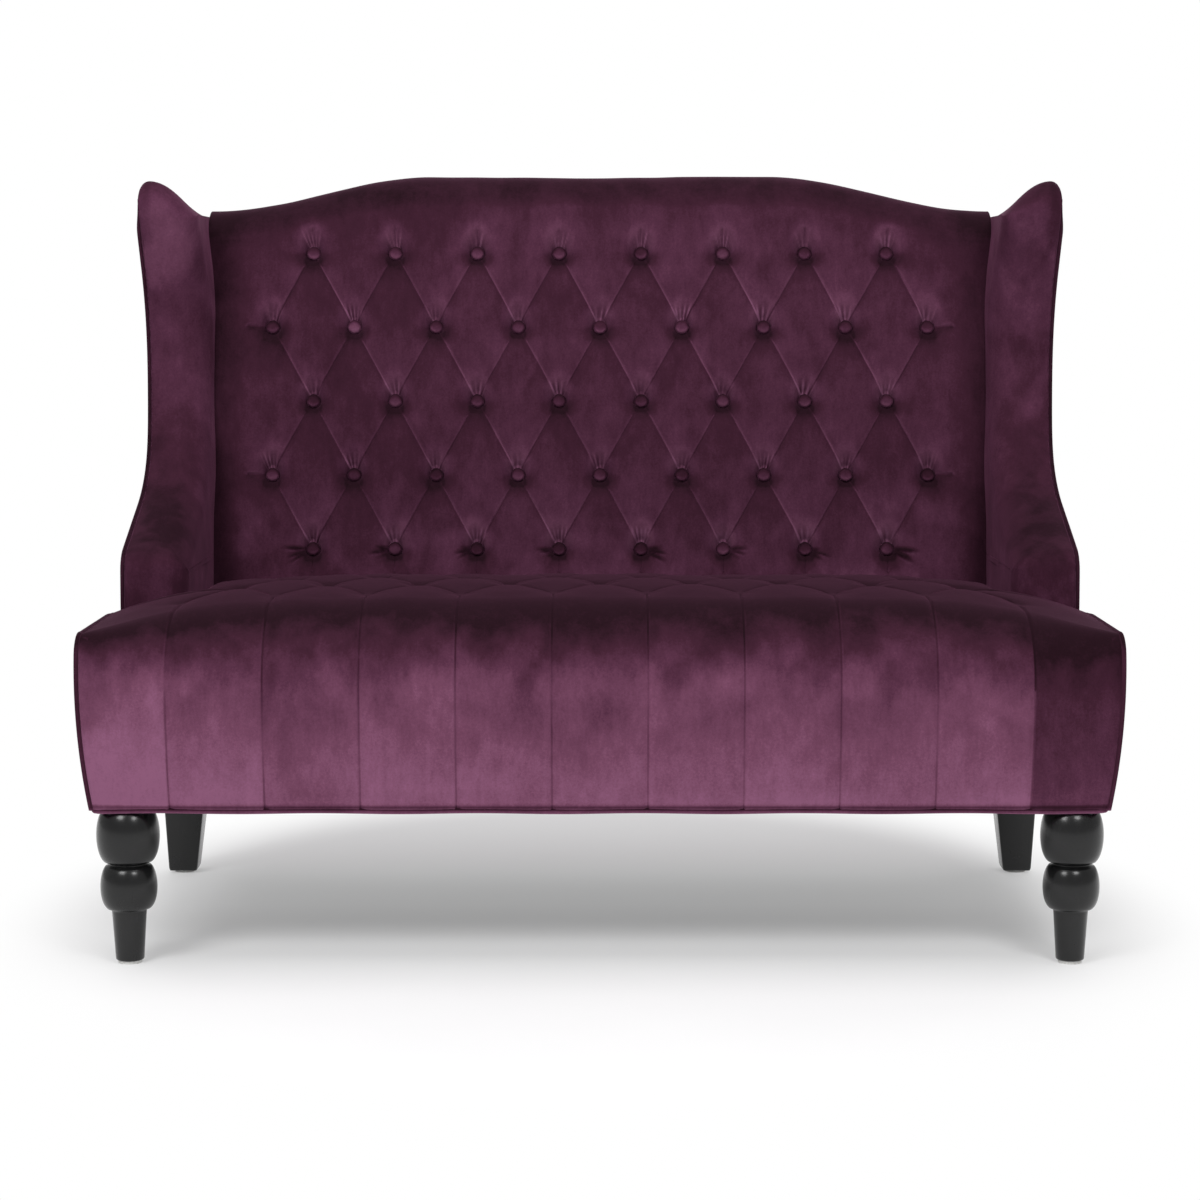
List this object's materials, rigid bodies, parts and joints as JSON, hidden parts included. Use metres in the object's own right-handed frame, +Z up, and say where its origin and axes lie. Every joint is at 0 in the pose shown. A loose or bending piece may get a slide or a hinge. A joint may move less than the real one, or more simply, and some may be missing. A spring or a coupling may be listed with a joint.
{
  "type": "tufted loveseat",
  "caption": "Two-seat settee in deep-buttoned plum velvet: camel-crest back, swept wing arms, channelled waterfall seat, turned front legs and raked square rear legs.",
  "frame": {"origin": "on the floor under the middle of the loveseat's bounding box", "axes": "+X to the right as seen from the front, +Y to the back, +Z up"},
  "size_m": [1.3064, 0.74, 1.016],
  "materials": {
    "velvet": "cut-pile plum velvet with a brushed nap",
    "foam": "upholstery foam under fibre wadding",
    "frame_timber": "planed softwood and plywood, unfinished",
    "leg_lacquer": "satin black lacquer",
    "steel": "zinc-plated wire and fixings",
    "jute": "woven jute webbing, canvas, felt and twine",
    "dust_cloth": "black non-woven cloth",
    "glide_plastic": "translucent white plastic"
  },
  "bodies": {
    "root": {"back_buttons": "velvet", "back_canvas": "jute", "back_cover": "velvet", "back_foam": "foam", "back_lower_rail": "frame_timber", "back_post_left": "frame_timber", "back_post_right": "frame_timber", "back_stiles": "frame_timber", "back_toggles": "jute", "back_top_rail": "frame_timber", "back_twines": "jute", "back_webbing": "jute", "base_welt": "velvet", "corner_blocks": "frame_timber", "dust_cover": "dust_cloth", "frame_bolts": "steel", "front_leg_left": "leg_lacquer", "front_leg_right": "leg_lacquer", "front_rail": "frame_timber", "leg_bolts": "steel", "leg_glides": "glide_plastic", "leg_plates": "steel", "outside_back_cover": "velvet", "plate_screws": "steel", "rail_screws": "steel", "rear_leg_left": "leg_lacquer", "rear_leg_right": "leg_lacquer", "rear_rail": "frame_timber", "seat_cover": "velvet", "seat_foam": "foam", "seat_insulator": "jute", "seat_side_panel_left": "velvet", "seat_side_panel_right": "velvet", "seat_springs": "steel", "seat_stitches": "velvet", "seat_stretchers": "frame_timber", "seat_toggles": "jute", "seat_twines": "jute", "seat_welt_left": "velvet", "seat_welt_right": "velvet", "side_rail_left": "frame_timber", "side_rail_right": "frame_timber", "spring_clips": "steel", "spring_ties": "steel", "wing_cover_left": "velvet", "wing_cover_right": "velvet", "wing_foam_left": "foam", "wing_foam_right": "foam", "wing_frame_left": "frame_timber", "wing_frame_right": "frame_timber", "wing_outer_cover_left": "velvet", "wing_outer_cover_right": "velvet", "wing_welt_left": "velvet", "wing_welt_right": "velvet"}
  },
  "joints": []
}
